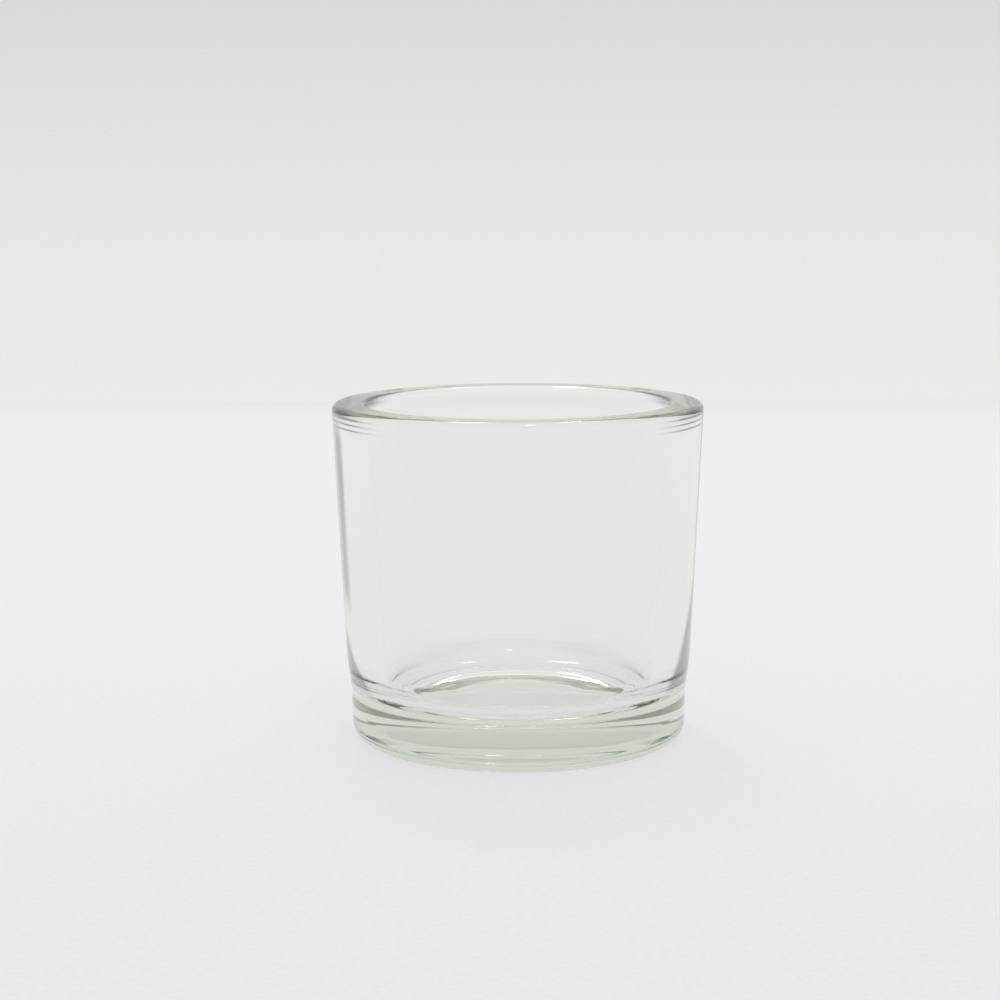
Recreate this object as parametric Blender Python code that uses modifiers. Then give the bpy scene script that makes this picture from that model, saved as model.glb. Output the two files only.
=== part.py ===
"""Tealight holder: one heavy pressed-glass cup, turned about +Z and standing on z = 0.

Every size is in metres. The cup is one closed profile swept round its axis: inner floor, inner wall,
rim, outer wall, heel and domed underside.
"""

import math

import bpy
from mathutils import Vector

# Overall size
HEIGHT = 0.065
RIM_RADIUS = 0.0356             # outer wall's line carried up to the rim plane
RIM_WALL = 0.0066               # wall thickness at the rim
RIM_OUTER_ROUND = 0.0012
RIM_INNER_ROUND = 0.0012

# Outer wall
OUTER_DRAFT = math.radians(2.7)
SHOULDER_TOP = 0.016            # where the wall starts to draw in towards the foot
SHOULDER_ROUND = 0.030
FOOT_TOP = 0.0094               # where the plain foot starts
FOOT_RADIUS = 0.03245
FOOT_ROUND = 0.008
HEEL_TOP = 0.006                # where the foot starts to lean in towards the heel
HEEL_RADIUS = 0.0324
HEEL_TOP_ROUND = 0.010
HEEL_FOOT_RADIUS = 0.0322       # the leaning side's line carried down to z = 0
HEEL_ROUND = 0.0030

# Underside: a flat bearing ring round a shallow dome
BEARING_INNER_RADIUS = 0.0235
DOME_DEPTH = 0.0016
DOME_FULLNESS = 3.5             # 2 is a parabola; more keeps the middle flat and the edge steep
DOME_STEPS = 9

# Inside
INNER_DRAFT = math.radians(3.3)
FLOOR_HEIGHT = 0.0088
FLOOR_ROUND = 0.0065

# Fineness
ARC_STEP = math.radians(18.0)   # largest turn of the outline from one point to the next
TURN_STEPS = 72
MERGE_DISTANCE = 0.00001

GLASS_COLOUR = (0.93, 0.97, 0.95, 1.0)
GLASS_ROUGHNESS = 0.02
GLASS_INDEX = 1.52


def radius_on_slope(radius, drop, draft):
    """Radius of a tapered wall, a drop below the height where it measures radius."""
    return radius - drop * math.tan(draft)


def round_corner(before, corner, after, radius):
    """Points of the arc that rounds one corner of an outline, in the outline's order."""
    to_before = (before - corner).normalized()
    to_after = (after - corner).normalized()
    half_angle = to_before.angle(to_after) / 2.0
    reach = radius / math.tan(half_angle)
    start = corner + to_before * reach
    end = corner + to_after * reach
    centre = corner + (to_before + to_after).normalized() * (radius / math.sin(half_angle))
    spoke, last_spoke = start - centre, end - centre
    turn = spoke.angle_signed(last_spoke)
    steps = max(2, math.ceil(abs(turn) / ARC_STEP))
    points = []
    for step in range(steps + 1):
        angle = -turn * step / steps
        cosine, sine = math.cos(angle), math.sin(angle)
        points.append(centre + Vector((spoke.x * cosine - spoke.y * sine,
                                       spoke.x * sine + spoke.y * cosine)))
    return points


def rounded_outline(corners):
    """Outline through (radius, height, rounding) corners, with an arc at each rounded one."""
    places = [Vector((radius, height)) for radius, height, rounding in corners]
    outline = []
    for index, (radius, height, rounding) in enumerate(corners):
        if rounding > 0.0:
            outline += round_corner(places[index - 1], places[index], places[index + 1], rounding)
        else:
            outline.append(places[index])
    return outline


def dome_points():
    """Underside from the bearing ring in to the axis, steep at the ring and flat in the middle."""
    points = []
    for step in range(1, DOME_STEPS + 1):
        share = 1.0 - step / DOME_STEPS
        rise = DOME_DEPTH * (1.0 - share ** DOME_FULLNESS)
        points.append(Vector((BEARING_INNER_RADIUS * share, rise)))
    return points


def cup_outline():
    """Whole profile at +X: inner floor, inner wall, rim, down the outer side, underside."""
    rim_inner = RIM_RADIUS - RIM_WALL
    floor_corner = radius_on_slope(rim_inner, HEIGHT - FLOOR_HEIGHT, INNER_DRAFT)
    shoulder = radius_on_slope(RIM_RADIUS, HEIGHT - SHOULDER_TOP, OUTER_DRAFT)
    corners = [
        (0.0, FLOOR_HEIGHT, 0.0),
        (floor_corner, FLOOR_HEIGHT, FLOOR_ROUND),
        (rim_inner, HEIGHT, RIM_INNER_ROUND),
        (RIM_RADIUS, HEIGHT, RIM_OUTER_ROUND),
        (shoulder, SHOULDER_TOP, SHOULDER_ROUND),
        (FOOT_RADIUS, FOOT_TOP, FOOT_ROUND),
        (HEEL_RADIUS, HEEL_TOP, HEEL_TOP_ROUND),
        (HEEL_FOOT_RADIUS, 0.0, HEEL_ROUND),
        (BEARING_INNER_RADIUS, 0.0, 0.0),
    ]
    return rounded_outline(corners) + dome_points()


def turned_object(name, outline, collection):
    """Object whose outline is swept round the Z axis by a Screw modifier."""
    mesh = bpy.data.meshes.new(name)
    edges = [(index, index + 1) for index in range(len(outline) - 1)]
    mesh.from_pydata([(point.x, 0.0, point.y) for point in outline], edges, [])
    turned = bpy.data.objects.new(name, mesh)
    collection.objects.link(turned)
    screw = turned.modifiers.new("Turn", 'SCREW')
    screw.steps = TURN_STEPS
    screw.render_steps = TURN_STEPS
    screw.use_merge_vertices = True
    screw.merge_threshold = MERGE_DISTANCE
    screw.use_smooth_shade = True
    return turned


def clear_glass():
    """Clear glass with the faint green cast of a thick pressing."""
    material = bpy.data.materials.new("clear_glass")
    material.use_nodes = True
    shader = material.node_tree.nodes["Principled BSDF"]
    shader.inputs["Base Color"].default_value = GLASS_COLOUR
    shader.inputs["Metallic"].default_value = 0.0
    shader.inputs["Roughness"].default_value = GLASS_ROUGHNESS
    shader.inputs["IOR"].default_value = GLASS_INDEX
    shader.inputs["Transmission Weight"].default_value = 1.0
    return material


def main():
    """Clear the scene and build the holder in a collection of its own."""
    for old in list(bpy.data.objects):
        bpy.data.objects.remove(old, do_unlink=True)
    parts = bpy.data.collections.new("tealight_holder")
    bpy.context.scene.collection.children.link(parts)
    glass = turned_object("glass_holder", cup_outline(), parts)
    glass.data.materials.append(clear_glass())


main()
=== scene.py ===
"""A clear pressed-glass tealight holder on a pale table, in soft studio light.

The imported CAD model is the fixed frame.  Its plain turned body is replaced here by a
finely turned glass body with the slight unevenness that pressing leaves in the walls.
Lengths are in metres, +Z is up, and the holder stands on z = 0 at the origin.
"""

import logging
import math
from dataclasses import dataclass, field
from enum import Enum

import bpy
from mathutils import Matrix, Vector, noise


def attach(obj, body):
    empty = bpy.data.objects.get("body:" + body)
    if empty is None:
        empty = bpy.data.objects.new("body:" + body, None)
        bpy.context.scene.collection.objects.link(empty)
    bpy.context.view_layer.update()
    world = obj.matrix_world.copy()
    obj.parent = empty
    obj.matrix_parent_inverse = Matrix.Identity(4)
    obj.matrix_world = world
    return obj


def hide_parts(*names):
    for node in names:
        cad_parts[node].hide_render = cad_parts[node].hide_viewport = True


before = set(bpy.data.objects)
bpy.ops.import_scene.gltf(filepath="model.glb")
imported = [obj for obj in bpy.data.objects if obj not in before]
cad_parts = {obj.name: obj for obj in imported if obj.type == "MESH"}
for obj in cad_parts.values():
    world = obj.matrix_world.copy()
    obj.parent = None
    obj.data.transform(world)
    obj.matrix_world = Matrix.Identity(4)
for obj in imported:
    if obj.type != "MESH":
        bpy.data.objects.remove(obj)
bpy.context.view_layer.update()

LOG = logging.getLogger("tealight_holder")
GLASS_BOUNCES = 24
MIRROR_BOUNCES = 16

MM = 0.001
Colour = tuple[float, float, float]
Place = tuple[float, float, float]
Span = tuple[float, float]
OutlinePoint = tuple[float, float]
WHITE: Colour = (1.0, 1.0, 1.0)
BLACK: Colour = (0.0, 0.0, 0.0)


# ---------------------------------------------------------------- shader maths


class Shade:
    """One node socket that takes part in Python expressions."""

    def __init__(self, tree: "ShadeTree", socket: bpy.types.NodeSocket) -> None:
        """Keep the tree that the socket belongs to.

        Args:
            tree: The tree that new nodes are added to.
            socket: The output socket that this value stands for.
        """
        self.tree = tree
        self.socket = socket

    def _maths(self, operation: str, first: "Shade | float", second: "Shade | float") -> "Shade":
        """Add one Math node.

        Args:
            operation: The Math node's operation.
            first: The left-hand value.
            second: The right-hand value.

        Returns:
            The node's result.
        """
        return self.tree.node("ShaderNodeMath", {"operation": operation}, {0: first, 1: second})

    def __add__(self, other: "Shade | float") -> "Shade":
        """Give self + other."""
        return self._maths("ADD", self, other)

    __radd__ = __add__

    def __sub__(self, other: "Shade | float") -> "Shade":
        """Give self - other."""
        return self._maths("SUBTRACT", self, other)

    def __rsub__(self, other: "Shade | float") -> "Shade":
        """Give other - self."""
        return self._maths("SUBTRACT", other, self)

    def __mul__(self, other: "Shade | float") -> "Shade":
        """Give self * other."""
        return self._maths("MULTIPLY", self, other)

    __rmul__ = __mul__

    def __truediv__(self, other: "Shade | float") -> "Shade":
        """Give self / other."""
        return self._maths("DIVIDE", self, other)

    def __pow__(self, other: "Shade | float") -> "Shade":
        """Give self to the power of other."""
        return self._maths("POWER", self, other)

    def __abs__(self) -> "Shade":
        """Give the value without its sign."""
        return (self * self) ** 0.5

    def ease(self, low: float, high: float) -> "Shade":
        """Rise smoothly from 0 to 1.

        Args:
            low: The value at which the result is still 0.
            high: The value at which the result has reached 1.

        Returns:
            The eased value.
        """
        settings = {"interpolation_type": "SMOOTHSTEP"}
        return self.tree.node(
            "ShaderNodeMapRange", settings, {"Value": self, "From Min": low, "From Max": high}
        )


class ShadeTree:
    """A node tree under construction."""

    def __init__(self, owner: bpy.types.Material | bpy.types.World) -> None:
        """Start from an empty tree.

        Args:
            owner: The material or world whose nodes are made.
        """
        owner.use_nodes = True
        self.nodes = owner.node_tree.nodes
        self.links = owner.node_tree.links
        self.nodes.clear()

    def node(
        self,
        kind: str,
        settings: dict[str, object] | None = None,
        sockets: dict[str | int, object] | None = None,
        output: str | int = 0,
    ) -> Shade:
        """Add any node.

        Args:
            kind: The node's type name.
            settings: The node's own settings, and a ramp's stops as (place, colour) pairs.
            sockets: Values or links for the node's inputs, by name or place.
            output: The output that the result stands for.

        Returns:
            The chosen output.
        """
        made = self.nodes.new(kind)
        for name, value in (settings or {}).items():
            if name == "stops":
                self._set_stops(made.color_ramp, value)
            else:
                setattr(made, name, value)
        for name, value in (sockets or {}).items():
            if isinstance(value, Shade):
                self.links.new(value.socket, made.inputs[name])
            else:
                made.inputs[name].default_value = value
        return Shade(self, made.outputs[output]) if made.outputs else Shade(self, None)

    @staticmethod
    def _set_stops(ramp: bpy.types.ColorRamp, stops: list[tuple[float, Colour]]) -> None:
        """Give a ramp its stops.

        Args:
            ramp: The colour ramp to fill.
            stops: Its places and colours, in rising order.
        """
        while len(ramp.elements) < len(stops):
            ramp.elements.new(1.0)
        for element, (place, colour) in zip(ramp.elements, stops):
            element.position = place
            element.color = (*colour, 1.0)

    def blend(self, amount: Shade, first: "Shade | Colour", second: "Shade | Colour") -> Shade:
        """Mix two colours.

        Args:
            amount: 0 for the first colour, 1 for the second.
            first: A plain colour or another node's.
            second: A plain colour or another node's.

        Returns:
            The mixed colour.
        """
        first = (*first, 1.0) if isinstance(first, tuple) else first
        second = (*second, 1.0) if isinstance(second, tuple) else second
        return self.node(
            "ShaderNodeMix", {"data_type": "RGBA"}, {0: amount, 6: first, 7: second}, output=2
        )

    def place(self) -> Shade:
        """Give the point's place on the object, in metres."""
        return self.node("ShaderNodeTexCoord", output="Object")

    def axis(self, point: Shade, name: str) -> Shade:
        """Give one coordinate of a point, by the axis's name."""
        return self.node("ShaderNodeSeparateXYZ", None, {0: point}, output=name)

    def stretched(self, point: Shade, scale: Place) -> Shade:
        """Scale a point along each axis with Vector Math."""
        return self.node("ShaderNodeVectorMath", {"operation": "MULTIPLY"}, {0: point, 1: scale})

    def cloud(self, point: Shade, scale: float, detail: float = 1.0) -> Shade:
        """Give soft noise from 0 to 1 at so many lumps a metre."""
        return self.node("ShaderNodeTexNoise", None, {"Vector": point, "Scale": scale, "Detail": detail})

    def from_axis(self, point: Shade) -> Shade:
        """Give a point's distance from the Z axis."""
        across, depth = self.axis(point, "X"), self.axis(point, "Y")
        return (across * across + depth * depth) ** 0.5

    def turned_away(self, normal: Shade | None = None) -> Shade:
        """Measure how far a surface turns away from the eye.

        Args:
            normal: A direction that stands in for the surface's own normal.

        Returns:
            0 where it faces the eye, rising to 1 where it is seen edge on.
        """
        sockets = {"Blend": 0.5} if normal is None else {"Blend": 0.5, "Normal": normal}
        return self.node("ShaderNodeLayerWeight", None, sockets, output="Facing")


# -------------------------------------------------------------------- finishes


@dataclass(frozen=True)
class RimPaintedShadeAndLines:
    """Painted shade on the rim's two ends, with three fine grey lines just below them that show only
    where the wall turns sideways.
    """

    # Colour of the painted shade at the rim's ends and of the lines below them.
    colour: Colour = (0.10, 0.105, 0.10)
    starts: Span = (62.5 * MM, 64.0 * MM)
    sideways: Span = (0.15, 0.75)
    edge_on: Span = (0.35, 0.75)
    strength: float = 0.85
    lean: float = 4.5
    lines: Span = (61.0 * MM, 63.8 * MM)
    line_spacing: float = 1.0 * MM
    line_width: Span = (0.2 * MM, 0.45 * MM)
    line_fade: float = 0.3 * MM
    line_ends: Span = (0.3, 0.6)

    def share(self, tree: ShadeTree, place: Shade, outside: Shade) -> Shade:
        """Find where the painted shade and the lines lie.

        Args:
            tree: The glass's tree.
            place: The point on the cup.
            outside: 1 on the outer wall.

        Returns:
            About 1 at the rim's two ends, easing to 0 at its front, its back and below it.
        """
        flat = tree.stretched(place, (1.0, 1.0, 0.0))
        outward = tree.node("ShaderNodeVectorMath", {"operation": "NORMALIZE"}, {0: flat})
        across, up = tree.axis(place, "X"), tree.axis(place, "Z")
        turned = tree.turned_away(outward)
        edge_on = tree.turned_away().ease(*self.edge_on)
        # Painted shade: grey where the rim's ends are seen sideways, a little stronger on the left.
        rim = up.ease(*self.starts) * turned.ease(*self.sideways) * edge_on
        return rim * (self.strength - across * self.lean) + self.fine_lines(tree, up, turned) * outside

    def fine_lines(self, tree: ShadeTree, up: Shade, turned: Shade) -> Shade:
        """Draw the lines below the rim.

        Args:
            tree: The glass's tree.
            up: The height on the cup.
            turned: How far the wall turns sideways.

        Returns:
            1 on the lines where the wall turns sideways.
        """
        low, high = self.lines
        settings = {"operation": "PINGPONG"}
        step = tree.node("ShaderNodeMath", settings, {0: up - low, 1: self.line_spacing / 2})
        in_zone = up.ease(low, low + self.line_fade) * (1.0 - up.ease(high, high + self.line_fade))
        return step.ease(*self.line_width) * in_zone * turned.ease(*self.line_ends)


@dataclass(frozen=True)
class EdgePaintedShade:
    """Painted shade just inside the wall's outline: a high streak on the left and a wedge at the foot.
    """

    # Colour of the painted shade inside the wall's outline.
    colour: Colour = (0.16, 0.175, 0.165)
    uneven_stretch: Place = (1.0, 1.0, 0.3)
    uneven_scale: float = 90.0
    uneven_ends: Span = (0.35, 0.6)
    streak_height: float = 5.0 * MM
    streak_slant: float = 1.2
    streak_reach: Span = (13.0 * MM, 20.0 * MM)
    streak_inner: Span = (0.69, 0.76)
    streak_outer: Span = (0.84, 0.9)
    outer_loss: float = 0.75
    streak_least: float = 0.45
    wedge_foot: float = 14.0 * MM
    wedge_fade: Span = (10.0 * MM, 14.0 * MM)
    wedge_rise: float = 18.0 * MM
    wedge_slant: float = 0.18
    wedge_starts: float = 0.59
    wedge_narrows: float = 0.4
    wedge_softness: float = 0.08
    wedge_ragged: float = 0.03

    def share(self, tree: ShadeTree, place: Shade) -> Shade:
        """Find where the painted shade lies.

        Args:
            tree: The glass's tree.
            place: The point on the cup.

        Returns:
            1 in the middle of the streak and the wedge, easing to 0 where the wall faces the eye.
        """
        turned = tree.turned_away()
        across, up = tree.axis(place, "X"), tree.axis(place, "Z")
        lumps = tree.cloud(tree.stretched(place, self.uneven_stretch), self.uneven_scale)
        uneven = lumps.ease(*self.uneven_ends)
        # Painted shade: a streak high on the left and a wedge at the foot, both ragged from the noise.
        reach = 1.0 - abs(up + across * self.streak_slant - self.streak_height).ease(*self.streak_reach)
        line = turned.ease(*self.streak_inner) - self.outer_loss * turned.ease(*self.streak_outer)
        streak = line * reach * (self.streak_least + uneven * (1.0 - self.streak_least))
        climb = (up - self.wedge_foot) / (self.wedge_rise + across * self.wedge_slant)
        limit = climb * self.wedge_narrows + self.wedge_starts
        wedge = (turned - limit + uneven * self.wedge_ragged).ease(0.0, self.wedge_softness)
        wedge = wedge * up.ease(*self.wedge_fade)
        return streak + wedge - streak * wedge


@dataclass(frozen=True)
class ClearGlass:
    """Clear soda-lime glass, faintly green and grey where it is thick, with painted shade in its surface
    colour.
    """

    name: str = "clear_glass"
    slot: str = "clear_glass"
    bend: float = 1.52
    body_colour: Colour = (0.75, 0.805, 0.69)
    body_density: float = 16.0
    clean_colour: Colour = (0.985, 0.99, 0.985)
    hazed_colour: Colour = (0.97, 0.98, 0.97)
    haze_stretch: Place = (1.0, 1.0, 0.45)
    haze_scale: float = 38.0
    haze_detail: float = 4.0
    haze_ends: Span = (0.55, 0.75)
    smear_roughness: float = 0.012
    ripple_stretch: Place = (1.0, 1.0, 0.35)
    ripple_scale: float = 55.0
    ripple_depth: float = 0.02 * MM
    orange_peel_scale: float = 420.0
    orange_peel_depth: float = 0.0006 * MM
    outer_wall: Span = (31.0 * MM, 31.5 * MM)
    # Painted shade at the rim's ends and just inside the wall's outline.
    rim: RimPaintedShadeAndLines = RimPaintedShadeAndLines()
    edge: EdgePaintedShade = EdgePaintedShade()

    def material(self) -> bpy.types.Material:
        """Make the glass.

        Returns:
            A Principled glass with a plain absorbing body.
        """
        made = bpy.data.materials.new(self.name)
        tree = ShadeTree(made)
        place = tree.place()
        smears = tree.cloud(tree.stretched(place, self.haze_stretch), self.haze_scale, self.haze_detail)
        haze = smears.ease(*self.haze_ends)
        surface = tree.node(
            "ShaderNodeBsdfPrincipled",
            None,
            {
                "Base Color": self.tint_with_painted_shade(tree, place, haze),
                "Roughness": haze * self.smear_roughness,
                "IOR": self.bend,
                "Transmission Weight": 1.0,
                "Normal": self.relief(tree, place),
            },
        )
        body = tree.node(
            "ShaderNodeVolumeAbsorption",
            None,
            {"Color": (*self.body_colour, 1.0), "Density": self.body_density},
        )
        tree.node("ShaderNodeOutputMaterial", None, {"Surface": surface, "Volume": body})
        return made

    def tint_with_painted_shade(self, tree: ShadeTree, place: Shade, haze: Shade) -> Shade:
        """Tint the surface and paint shade into it.

        Args:
            tree: The glass's tree.
            place: The point on the cup.
            haze: 1 where the surface is smeared.

        Returns:
            Near white, with painted shade at the rim's ends and inside the wall's outline.
        """
        outside = tree.from_axis(place).ease(*self.outer_wall)
        plain = tree.blend(haze, self.clean_colour, self.hazed_colour)
        # Painted shade darkens the colour at the rim's ends and inside the wall's outline.
        with_painted_rim_shade = tree.blend(self.rim.share(tree, place, outside), plain, self.rim.colour)
        return tree.blend(self.edge.share(tree, place) * outside, with_painted_rim_shade, self.edge.colour)

    def relief(self, tree: ShadeTree, place: Shade) -> Shade:
        """Raise the mould's slow ripple and the fine orange peel.

        Args:
            tree: The glass's tree.
            place: The point on the cup.

        Returns:
            The bumped normal.
        """
        ripple = tree.cloud(tree.stretched(place, self.ripple_stretch), self.ripple_scale)
        peel = tree.cloud(place, self.orange_peel_scale)
        height = ripple * self.ripple_depth + peel * self.orange_peel_depth
        return tree.node("ShaderNodeBump", None, {"Height": height, "Strength": 1.0, "Distance": 1.0})


class Across(Enum):
    """The axis along which a stage surface changes tone."""

    DEPTH = "Y"
    HEIGHT = "Z"


@dataclass(frozen=True)
class PaleCard:
    """Matt pale studio card that glows with painted light, its tone changing slowly along one axis as
    painted light and shade.
    """

    name: str
    across: Across
    tones: tuple[tuple[float, Colour], ...]
    # Strength of the card's painted glow, which stands in for the studio's light.
    painted_glow: float = 0.775
    reflectance: float = 0.3
    grain_scale: float = 900.0
    grain_detail: float = 3.0
    grain_share: float = 0.1

    def material(self) -> bpy.types.Material:
        """Make the card.

        Returns:
            A matt surface whose light is mostly its own painted glow.
        """
        made = bpy.data.materials.new(self.name)
        tree = ShadeTree(made)
        place = tree.place()
        # The tone steps are painted light and shade, and the card glows in them.
        first, last = self.tones[0][0], self.tones[-1][0]
        along = (tree.axis(place, self.across.value) - first) / (last - first)
        stops = [((where - first) / (last - first), colour) for where, colour in self.tones]
        tone = tree.node("ShaderNodeValToRGB", {"stops": stops}, {"Fac": along})
        grain = tree.cloud(place, self.grain_scale, self.grain_detail)
        shade = 1.0 - self.reflectance + grain * self.grain_share
        surface = tree.node(
            "ShaderNodeBsdfPrincipled",
            None,
            {
                "Base Color": tree.blend(shade, tone, BLACK),
                "Roughness": 1.0,
                "Specular IOR Level": 0.0,
                "Emission Color": tone,
                "Emission Strength": self.painted_glow,
            },
        )
        tree.node("ShaderNodeOutputMaterial", None, {"Surface": surface})
        return made


# --------------------------------------------------------------------- meshes


def new_object(
    name: str,
    points: list[Vector] | list[Place],
    faces: list[tuple[int, ...]],
    material: bpy.types.Material,
) -> bpy.types.Object:
    """Link a mesh object with one material.

    Args:
        name: The object's name.
        points: The mesh's points.
        faces: The mesh's faces, as point numbers.
        material: The finish on all of it.

    Returns:
        The new object.
    """
    mesh = bpy.data.meshes.new(name)
    mesh.from_pydata(points, [], faces)
    mesh.materials.append(material)
    made = bpy.data.objects.new(name, mesh)
    bpy.context.scene.collection.objects.link(made)
    return made


@dataclass(frozen=True)
class Corner:
    """A corner of the turned section, with the radius that rounds it off."""

    radius: float
    height: float
    rounding: float = 0.0

    def arc(self, before: "Corner", after: "Corner", step: float) -> list[OutlinePoint]:
        """Round the corner off.

        Args:
            before: The corner ahead of this one.
            after: The corner past this one.
            step: The most that the arc turns from point to point, in radians.

        Returns:
            Points along the arc, or the bare corner.
        """
        here = Vector((self.radius, self.height))
        if self.rounding == 0.0:
            return [tuple(here)]
        back = (Vector((before.radius, before.height)) - here).normalized()
        ahead = (Vector((after.radius, after.height)) - here).normalized()
        opening = back.angle(ahead)
        centre = here + (back + ahead).normalized() * (self.rounding / math.sin(opening / 2))
        reach = self.rounding / math.tan(opening / 2)
        start = here + back * reach - centre
        turn = start.angle_signed(here + ahead * reach - centre)
        steps = max(2, math.ceil(abs(turn) / step))
        points = []
        for count in range(steps + 1):
            spoke = start.copy()
            spoke.rotate(Matrix.Rotation(-turn * count / steps, 2))
            points.append(tuple(centre + spoke))
        return points


@dataclass(frozen=True)
class CupSection:
    """The turned section of the holder, from the underside's middle to the floor's middle."""

    height: float = 65.0 * MM
    rim_radius: float = 35.6 * MM
    rim_bore: float = 29.0 * MM
    rim_rounding: float = 1.2 * MM
    shoulder: Corner = Corner(33.289 * MM, 16.0 * MM, 30.0 * MM)
    foot: Corner = Corner(32.45 * MM, 9.4 * MM, 8.0 * MM)
    heel: Corner = Corner(32.4 * MM, 6.0 * MM, 10.0 * MM)
    underside: Corner = Corner(32.2 * MM, 0.0, 3.0 * MM)
    dome_radius: float = 23.5 * MM
    dome_rise: float = 1.6 * MM
    dome_fullness: float = 3.5
    dome_rings: int = 24
    inner_draft: float = math.radians(3.3)
    floor_height: float = 8.8 * MM
    floor_rounding: float = 6.5 * MM
    arc_step: float = math.radians(4.0)
    longest_step: float = 1.6 * MM

    def dome(self) -> list[OutlinePoint]:
        """Give the hollow under the base, from its middle to the bearing ring.

        Returns:
            Points on a shallow dome, flat in its middle and steep at the ring.
        """
        shares = [ring / self.dome_rings for ring in range(self.dome_rings)]
        return [
            (self.dome_radius * share, self.dome_rise * (1 - share**self.dome_fullness))
            for share in shares
        ]

    def corners(self) -> list[Corner]:
        """List the section's corners past the dome.

        Returns:
            Corners from the bearing ring, up the outside and down the inside.
        """
        bore_at_floor = self.rim_bore - (self.height - self.floor_height) * math.tan(self.inner_draft)
        return [
            Corner(self.dome_radius, 0.0),
            self.underside,
            self.heel,
            self.foot,
            self.shoulder,
            Corner(self.rim_radius, self.height, self.rim_rounding),
            Corner(self.rim_bore, self.height, self.rim_rounding),
            Corner(bore_at_floor, self.floor_height, self.floor_rounding),
            Corner(0.0, self.floor_height),
        ]

    def outline(self) -> list[OutlinePoint]:
        """Join the dome, the rounded corners and the straight walls.

        Returns:
            (radius, height) points, close enough together for the walls' unevenness.
        """
        corners = self.corners()
        points = self.dome() + [(corners[0].radius, corners[0].height)]
        for before, corner, after in zip(corners, corners[1:], corners[2:]):
            points += corner.arc(before, after, self.arc_step)
        points.append((corners[-1].radius, corners[-1].height))
        close = [points[0]]
        for start, end in zip(points, points[1:]):
            parts = max(1, math.ceil(math.dist(start, end) / self.longest_step))
            for part in range(1, parts + 1):
                share = part / parts
                close.append(tuple(a + (b - a) * share for a, b in zip(start, end)))
        return close


@dataclass
class GlassHolder:
    """The one piece of the holder: a thick-walled pressed-glass cup."""

    section: CupSection = field(default_factory=CupSection)
    finish: ClearGlass = field(default_factory=ClearGlass)
    name: str = "pressed_glass_cup"
    stands_for: str = "glass_holder"
    body: str = "root"
    segments: int = 288
    wall_wave: float = 0.03 * MM
    wave_length: float = 17.0 * MM
    wave_stretch: float = 0.4
    calm_from: float = 12.0 * MM
    calm_to: float = 24.0 * MM

    def build(self) -> bpy.types.Object:
        """Turn the section, dress it and hang it on the CAD body.

        Returns:
            The finished piece.
        """
        points, faces = self.turned()
        piece = new_object(self.name, points, faces, self.finish.material())
        piece.data.shade_smooth()
        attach(piece, self.body)
        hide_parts(self.stands_for)
        return piece

    def turned(self) -> tuple[list[Vector], list[tuple[int, ...]]]:
        """Turn the outline about the axis.

        Returns:
            The points and the outward faces of the body.
        """
        outline = self.section.outline()
        points = [Vector((0.0, 0.0, outline[0][1]))]
        for radius, height in outline[1:-1]:
            for spoke in range(self.segments):
                angle = 2 * math.pi * spoke / self.segments
                here = Vector((radius * math.cos(angle), radius * math.sin(angle), height))
                points.append(self.waved(here, radius))
        points.append(Vector((0.0, 0.0, outline[-1][1])))
        return points, self.faces(len(outline) - 2)

    def waved(self, here: Vector, radius: float) -> Vector:
        """Draw a wall point in a little, as a mould's uneven chill does.

        Args:
            here: The point on the true section.
            radius: Its distance from the axis.

        Returns:
            The point moved towards the axis.
        """
        lift = min(1.0, max(0.0, (here.z - self.calm_from) / (self.calm_to - self.calm_from)))
        seed = Vector((here.x, here.y, here.z * self.wave_stretch)) / self.wave_length
        depth = self.wall_wave * lift * (1.0 + noise.noise(seed)) / 2.0
        share = (radius - depth) / radius
        return Vector((here.x * share, here.y * share, here.z))

    def faces(self, rings: int) -> list[tuple[int, ...]]:
        """Join the rings of points.

        Args:
            rings: How many full rings lie between the two middle points.

        Returns:
            Faces whose normals point out of the glass.
        """
        last = 1 + rings * self.segments
        found = []
        for spoke in range(self.segments):
            beside = (spoke + 1) % self.segments
            found.append((0, 1 + beside, 1 + spoke))
            for ring in range(rings - 1):
                low = 1 + ring * self.segments
                high = low + self.segments
                found.append((low + spoke, low + beside, high + beside, high + spoke))
            top = last - self.segments
            found.append((last, top + spoke, top + beside))
        return found


# ---------------------------------------------------------------------- stage


@dataclass
class TableTop:
    """The pale table that the holder stands on."""

    half_width: float = 0.45
    near_edge: float = -0.45
    far_edge: float = 0.60
    # Painted light and shade: the card is darker towards the near edge, brightest towards the back and
    # yellower at the far edge.
    finish: PaleCard = PaleCard(
        "table_card",
        Across.DEPTH,
        (
            (-0.45, (0.800, 0.790, 0.820)),
            (-0.132, (0.810, 0.802, 0.828)),
            (0.0, (0.830, 0.830, 0.846)),
            (0.19, (0.855, 0.847, 0.871)),
            (0.465, (0.855, 0.847, 0.871)),
            (0.584, (0.842, 0.842, 0.818)),
        ),
    )

    def build(self) -> bpy.types.Object:
        """Lay the table.

        Returns:
            The table.
        """
        sides = ((-self.half_width, self.near_edge), (self.half_width, self.near_edge))
        back = ((self.half_width, self.far_edge), (-self.half_width, self.far_edge))
        points = [(x, y, 0.0) for x, y in (*sides, *back)]
        made = new_object("table_top", points, [(0, 1, 2, 3)], self.finish.material())
        return made


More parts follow.
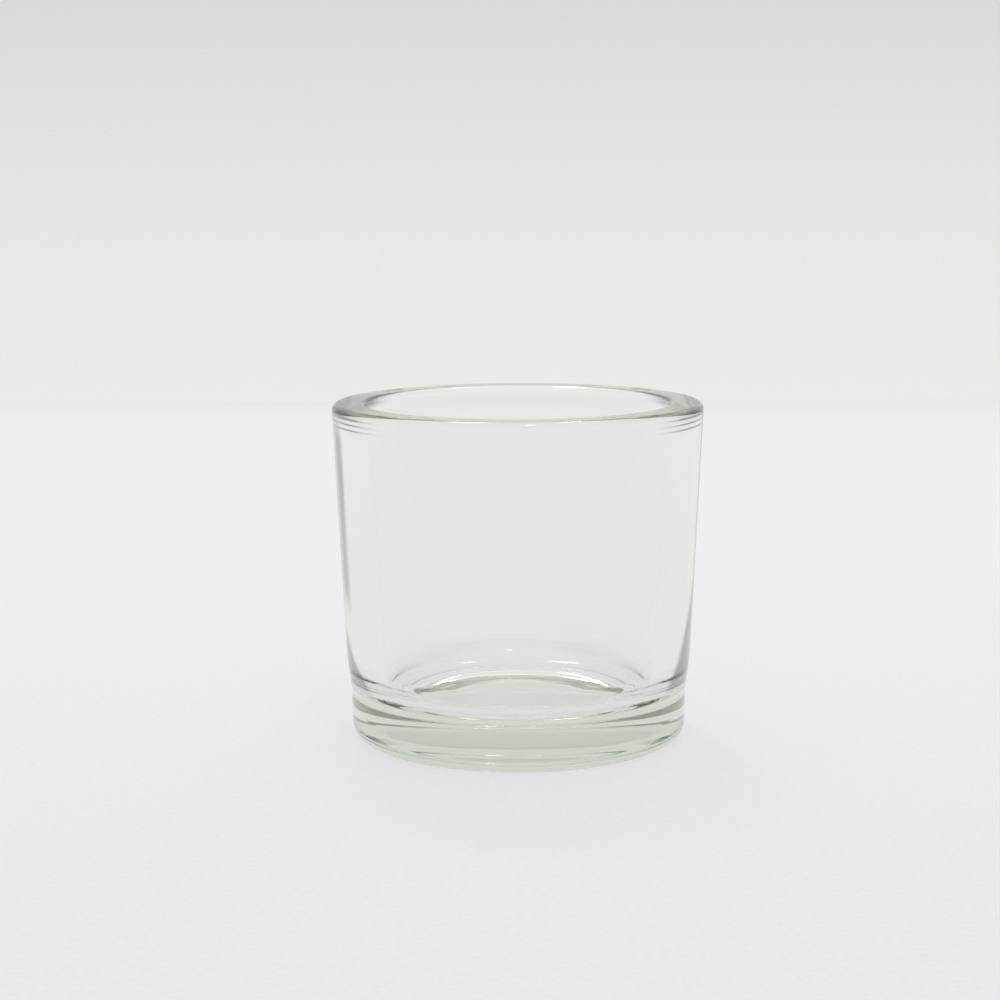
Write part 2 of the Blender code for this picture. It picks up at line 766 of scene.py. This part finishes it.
@dataclass
class Backdrop:
    """The pale card behind the table."""

    half_width: float = 0.45
    stands_at: float = 0.60
    top: float = 0.35
    # Painted shade: the card darkens towards the top.
    finish: PaleCard = PaleCard(
        "backdrop_card",
        Across.HEIGHT,
        (
            (0.0, (0.864, 0.864, 0.839)),
            (0.062, (0.839, 0.839, 0.823)),
            (0.09, (0.831, 0.823, 0.791)),
            (0.125, (0.791, 0.791, 0.759)),
            (0.178, (0.745, 0.736, 0.707)),
            (0.35, (0.728, 0.718, 0.686)),
        ),
    )

    def build(self) -> bpy.types.Object:
        """Stand the card up.

        Returns:
            The backdrop.
        """
        corners = ((-1, 0.0), (1, 0.0), (1, self.top), (-1, self.top))
        points = [(side * self.half_width, self.stands_at, height) for side, height in corners]
        made = new_object("backdrop", points, [(0, 1, 2, 3)], self.finish.material())
        return made


@dataclass
class SoftBox:
    """One square soft light."""

    name: str
    stands_at: Place
    side: float
    watts: float
    aims_at: Place = (0.0, 0.0, 0.03)

    def build(self) -> bpy.types.Object:
        """Hang the light and turn it to the holder.

        Returns:
            The light.
        """
        light = bpy.data.lights.new(self.name, "AREA")
        light.shape = "SQUARE"
        light.size = self.side
        light.energy = self.watts
        made = bpy.data.objects.new(self.name, light)
        made.location = self.stands_at
        aim = Vector(self.aims_at) - Vector(self.stands_at)
        made.rotation_euler = aim.to_track_quat("-Z", "Y").to_euler()
        bpy.context.scene.collection.objects.link(made)
        return made


SOFTBOXES = (
    SoftBox("left_softbox", stands_at=(-0.18, 0.68, 1.09), side=0.14, watts=2.0),
    SoftBox("right_softbox", stands_at=(0.2, 0.66, 1.09), side=0.07, watts=0.7),
    SoftBox("front_softbox", stands_at=(0.12, -0.5, 1.2), side=0.07, watts=1.1),
)


@dataclass
class DimRoom:
    """The room round the table, as its brightness in each direction."""

    low_sides: float = 0.6
    low_back: float = 0.75
    low_front: float = 0.72
    middle_sides: float = 0.1
    middle_back: float = 0.8
    middle_front: float = 0.4
    ceiling: float = 1.2
    low_ends: Span = (0.3, 0.5)
    ceiling_starts: Span = (0.7, 0.92)
    back_starts: Span = (0.2, 0.55)
    front_starts: Span = (0.2, 0.9)
    least_level: float = 0.001

    def build(self) -> bpy.types.World:
        """Light the room.

        Returns:
            The scene's world.
        """
        world = bpy.data.worlds.new("dim_room")
        bpy.context.scene.world = world
        tree = ShadeTree(world)
        way = tree.node("ShaderNodeTexCoord", output="Generated")
        depth, up = tree.axis(way, "Y"), tree.axis(way, "Z")
        towards_back = depth / (tree.from_axis(way) + self.least_level)
        back = towards_back.ease(*self.back_starts)
        front = (0.0 - towards_back).ease(*self.front_starts)
        low = 1.0 - up.ease(*self.low_ends)
        high = up.ease(*self.ceiling_starts)
        low_light = self.around(back, front, (self.low_sides, self.low_back, self.low_front))
        middle = self.around(back, front, (self.middle_sides, self.middle_back, self.middle_front))
        walls = low * low_light + (1.0 - low) * middle
        strength = walls * (1.0 - high) + high * self.ceiling
        light = tree.node("ShaderNodeBackground", None, {"Color": (*WHITE, 1.0), "Strength": strength})
        tree.node("ShaderNodeOutputWorld", None, {"Surface": light})
        return world

    @staticmethod
    def around(back: Shade, front: Shade, levels: tuple[float, float, float]) -> Shade:
        """Vary the brightness round the room.

        Args:
            back: 1 towards the back.
            front: 1 towards the front.
            levels: The brightness at the sides, the back and the front.

        Returns:
            The brightness.
        """
        sides, at_back, at_front = levels
        return sides + back * (at_back - sides) + front * (at_front - sides)


@dataclass
class TableCamera:
    """The camera, a little above the table and straight in front of the holder."""

    stands_at: Place = (-3.45 * MM, -419.3 * MM, 110.4 * MM)
    looks_down: float = math.radians(8.753)
    tilt: float = math.radians(0.261)
    lens: float = 79.2
    film: float = 36.0

    def build(self) -> bpy.types.Object:
        """Set the camera up.

        Returns:
            The scene's camera.
        """
        lens = bpy.data.cameras.new("table_camera")
        lens.sensor_width = self.film
        lens.lens = self.lens
        lens.clip_start = 1.0 * MM
        made = bpy.data.objects.new("table_camera", lens)
        made.location = self.stands_at
        turn = Matrix.Rotation(math.radians(90.0) - self.looks_down, 4, "X")
        made.rotation_euler = (turn @ Matrix.Rotation(-self.tilt, 4, "Z")).to_euler()
        bpy.context.scene.collection.objects.link(made)
        bpy.context.scene.camera = made
        return made


def set_light_paths(scene: bpy.types.Scene) -> None:
    """Let light pass through all of the glass's surfaces, and keep the tones plain."""
    scene.cycles.max_bounces = GLASS_BOUNCES
    scene.cycles.transmission_bounces = GLASS_BOUNCES
    scene.cycles.glossy_bounces = MIRROR_BOUNCES
    scene.view_settings.view_transform = "Standard"


def report(made: bpy.types.ID) -> None:
    """Log a finished piece by name."""
    LOG.info("made %s", made.name)


def main() -> None:
    """Build the holder, its stage, the light and the camera."""
    logging.basicConfig(level=logging.INFO)
    set_light_paths(bpy.context.scene)
    report(TableCamera().build())
    report(GlassHolder().build())
    report(TableTop().build())
    report(Backdrop().build())
    report(DimRoom().build())
    for softbox in SOFTBOXES:
        report(softbox.build())


if __name__ == "__main__":
    main()
